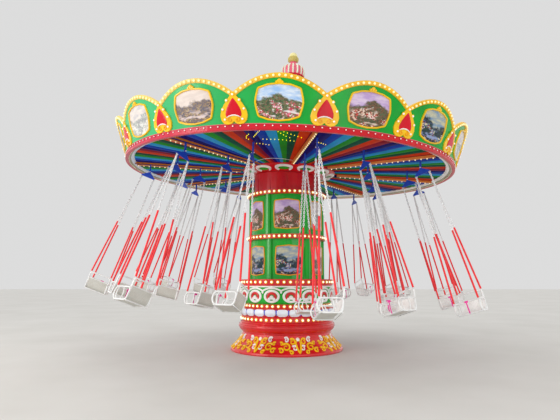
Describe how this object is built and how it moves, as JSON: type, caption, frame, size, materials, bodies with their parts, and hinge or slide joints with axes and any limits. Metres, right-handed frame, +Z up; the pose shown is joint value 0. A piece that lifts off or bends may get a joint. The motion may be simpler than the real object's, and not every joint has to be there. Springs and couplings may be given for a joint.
{
  "type": "chair swing ride",
  "caption": "Chair swing ride: round ornamented column, leaning canopy with arched picture boards that turns, and chairs flying outward on chains from hinged hangers.",
  "frame": {"origin": "centre of the column's flat foot on the ground", "axes": "+Z up; -Y towards the viewer's side; the canopy leans a little to +X and -Y"},
  "size_m": [9.8879, 9.8901, 8.001],
  "materials": {
    "red_gloss": "glossy moulded shell",
    "green_gloss": "glossy moulded shell",
    "white_gloss": "glossy moulded shell",
    "pink_gloss": "glossy moulded shell",
    "yellow_gloss": "glossy moulded shell",
    "blue_paint": "painted",
    "cream_paint": "painted",
    "white_tube": "powder coated",
    "steel": "machined"
  },
  "bodies": {
    "column": {"base_bell": "red_gloss", "base_bowl": "red_gloss", "petal_band": "white_gloss", "ornament_band": "green_gloss", "lower_drum": "green_gloss", "upper_drum": "green_gloss", "neck_drum": "red_gloss", "slew_bearing": "steel"},
    "canopy": {"crown_ring": "red_gloss", "rim_band": "red_gloss", "ceiling": "blue_paint", "rounding_boards": "green_gloss", "roof": "white_gloss", "finial_crown": "pink_gloss", "finial_ball": "yellow_gloss", "arm_1": "cream_paint", "arm_2": "cream_paint", "arm_3": "cream_paint", "arm_4": "cream_paint", "arm_5": "cream_paint", "arm_6": "cream_paint", "arm_7": "cream_paint", "arm_8": "cream_paint"},
    "chair_outer_1": {"chair_outer_1": "white_tube"},
    "chair_inner_1": {"chair_inner_1": "white_tube"},
    "chair_middle_1": {"chair_middle_1": "white_tube"},
    "chair_outer_2": {"chair_outer_2": "white_tube"},
    "chair_inner_2": {"chair_inner_2": "white_tube"},
    "chair_middle_2": {"chair_middle_2": "white_tube"},
    "chair_outer_3": {"chair_outer_3": "white_tube"},
    "chair_inner_3": {"chair_inner_3": "white_tube"},
    "chair_middle_3": {"chair_middle_3": "white_tube"},
    "chair_outer_4": {"chair_outer_4": "white_tube"},
    "chair_inner_4": {"chair_inner_4": "white_tube"},
    "chair_middle_4": {"chair_middle_4": "white_tube"},
    "chair_outer_5": {"chair_outer_5": "white_tube"},
    "chair_inner_5": {"chair_inner_5": "white_tube"},
    "chair_middle_5": {"chair_middle_5": "white_tube"},
    "chair_outer_6": {"chair_outer_6": "white_tube"},
    "chair_inner_6": {"chair_inner_6": "white_tube"},
    "chair_middle_6": {"chair_middle_6": "white_tube"},
    "chair_outer_7": {"chair_outer_7": "white_tube"},
    "chair_inner_7": {"chair_inner_7": "white_tube"},
    "chair_middle_7": {"chair_middle_7": "white_tube"},
    "chair_outer_8": {"chair_outer_8": "white_tube"},
    "chair_inner_8": {"chair_inner_8": "white_tube"},
    "chair_middle_8": {"chair_middle_8": "white_tube"}
  },
  "joints": [
    {"name": "canopy_spin", "type": "hinge", "parent": "column", "child": "canopy", "pos_m": [0.0646, 0.00405, 4.46517], "axis": [0.04, -0.03, 0.9988], "continuous": true},
    {"name": "outer_1_swing", "type": "hinge", "parent": "canopy", "child": "chair_outer_1", "pos_m": [0.54223, -3.59923, 4.25281], "axis": [-0.9904, -0.1334, 0.0357], "range_deg": [-22, 14]},
    {"name": "inner_1_swing", "type": "hinge", "parent": "canopy", "child": "chair_inner_1", "pos_m": [0.37215, -2.32431, 4.29788], "axis": [-0.9904, -0.1334, 0.0357], "range_deg": [-14.8, 9.4]},
    {"name": "middle_1_swing", "type": "hinge", "parent": "canopy", "child": "chair_middle_1", "pos_m": [1.60612, -2.65761, 4.23847], "axis": [-0.8645, -0.5023, 0.0195], "range_deg": [-22, 14]},
    {"name": "outer_2_swing", "type": "hinge", "parent": "canopy", "child": "chair_outer_2", "pos_m": [2.95056, -2.19979, 4.19838], "axis": [-0.6069, -0.7948, 0.0004], "range_deg": [-22, 14]},
    {"name": "inner_2_swing", "type": "hinge", "parent": "canopy", "child": "chair_inner_2", "pos_m": [1.92897, -1.41968, 4.26269], "axis": [-0.6069, -0.7948, 0.0004], "range_deg": [-14.8, 9.4]},
    {"name": "middle_2_swing", "type": "hinge", "parent": "canopy", "child": "chair_middle_2", "pos_m": [3.03816, -0.78222, 4.23741], "axis": [-0.2569, -0.9662, -0.0187], "range_deg": [-22, 14]},
    {"name": "outer_3_swing", "type": "hinge", "parent": "canopy", "child": "chair_outer_3", "pos_m": [3.66634, 0.49212, 4.2505], "axis": [0.1322, -0.9906, -0.035], "range_deg": [-22, 14]},
    {"name": "inner_3_swing", "type": "hinge", "parent": "canopy", "child": "chair_inner_3", "pos_m": [2.39167, 0.32045, 4.29638], "axis": [0.1322, -0.9906, -0.035], "range_deg": [-14.8, 9.4]},
    {"name": "middle_3_swing", "type": "hinge", "parent": "canopy", "child": "chair_middle_3", "pos_m": [2.72633, 1.55526, 4.32004], "axis": [0.5011, -0.8642, -0.046], "range_deg": [-22, 14]},
    {"name": "outer_4_swing", "type": "hinge", "parent": "canopy", "child": "chair_outer_4", "pos_m": [2.27028, 2.89961, 4.37864], "axis": [0.7938, -0.6061, -0.05], "range_deg": [-22, 14]},
    {"name": "inner_4_swing", "type": "hinge", "parent": "canopy", "child": "chair_inner_4", "pos_m": [1.48921, 1.87672, 4.37922], "axis": [0.7938, -0.6061, -0.05], "range_deg": [-14.8, 9.4]},
    {"name": "middle_4_swing", "type": "hinge", "parent": "canopy", "child": "chair_middle_4", "pos_m": [0.85331, 2.98554, 4.43795], "axis": [0.9656, -0.2559, -0.0463], "range_deg": [-22, 14]},
    {"name": "outer_5_swing", "type": "hinge", "parent": "canopy", "child": "chair_outer_5", "pos_m": [-0.41983, 3.61242, 4.50774], "axis": [0.9904, 0.1334, -0.0357], "range_deg": [-22, 14]},
    {"name": "inner_5_swing", "type": "hinge", "parent": "canopy", "child": "chair_inner_5", "pos_m": [-0.24975, 2.3375, 4.46267], "axis": [0.9904, 0.1334, -0.0357], "range_deg": [-14.8, 9.4]},
    {"name": "middle_5_swing", "type": "hinge", "parent": "canopy", "child": "chair_middle_5", "pos_m": [-1.48372, 2.6708, 4.52208], "axis": [0.8645, 0.5023, -0.0195], "range_deg": [-22, 14]},
    {"name": "outer_6_swing", "type": "hinge", "parent": "canopy", "child": "chair_outer_6", "pos_m": [-2.82815, 2.21298, 4.56217], "axis": [0.6069, 0.7948, -0.0004], "range_deg": [-22, 14]},
    {"name": "inner_6_swing", "type": "hinge", "parent": "canopy", "child": "chair_inner_6", "pos_m": [-1.80656, 1.43286, 4.49786], "axis": [0.6069, 0.7948, -0.0004], "range_deg": [-14.8, 9.4]},
    {"name": "middle_6_swing", "type": "hinge", "parent": "canopy", "child": "chair_middle_6", "pos_m": [-2.91575, 0.7954, 4.52314], "axis": [0.2569, 0.9662, 0.0187], "range_deg": [-22, 14]},
    {"name": "outer_7_swing", "type": "hinge", "parent": "canopy", "child": "chair_outer_7", "pos_m": [-3.54394, -0.47893, 4.51005], "axis": [-0.1322, 0.9906, 0.035], "range_deg": [-22, 14]},
    {"name": "inner_7_swing", "type": "hinge", "parent": "canopy", "child": "chair_inner_7", "pos_m": [-2.26926, -0.30726, 4.46417], "axis": [-0.1322, 0.9906, 0.035], "range_deg": [-14.8, 9.4]},
    {"name": "middle_7_swing", "type": "hinge", "parent": "canopy", "child": "chair_middle_7", "pos_m": [-2.60393, -1.54207, 4.44051], "axis": [-0.5011, 0.8642, 0.046], "range_deg": [-22, 14]},
    {"name": "outer_8_swing", "type": "hinge", "parent": "canopy", "child": "chair_outer_8", "pos_m": [-2.14788, -2.88643, 4.38191], "axis": [-0.7938, 0.6061, 0.05], "range_deg": [-22, 14]},
    {"name": "inner_8_swing", "type": "hinge", "parent": "canopy", "child": "chair_inner_8", "pos_m": [-1.36681, -1.86354, 4.38133], "axis": [-0.7938, 0.6061, 0.05], "range_deg": [-14.8, 9.4]},
    {"name": "middle_8_swing", "type": "hinge", "parent": "canopy", "child": "chair_middle_8", "pos_m": [-0.7309, -2.97235, 4.32259], "axis": [-0.9656, 0.2559, 0.0463], "range_deg": [-22, 14]}
  ],
  "couplings": [
    {"joint": "inner_1_swing", "follows": "outer_1_swing", "ratio": 0.67},
    {"joint": "inner_2_swing", "follows": "outer_2_swing", "ratio": 0.67},
    {"joint": "inner_3_swing", "follows": "outer_3_swing", "ratio": 0.67},
    {"joint": "inner_4_swing", "follows": "outer_4_swing", "ratio": 0.67},
    {"joint": "inner_5_swing", "follows": "outer_5_swing", "ratio": 0.67},
    {"joint": "inner_6_swing", "follows": "outer_6_swing", "ratio": 0.67},
    {"joint": "inner_7_swing", "follows": "outer_7_swing", "ratio": 0.67},
    {"joint": "inner_8_swing", "follows": "outer_8_swing", "ratio": 0.67}
  ]
}
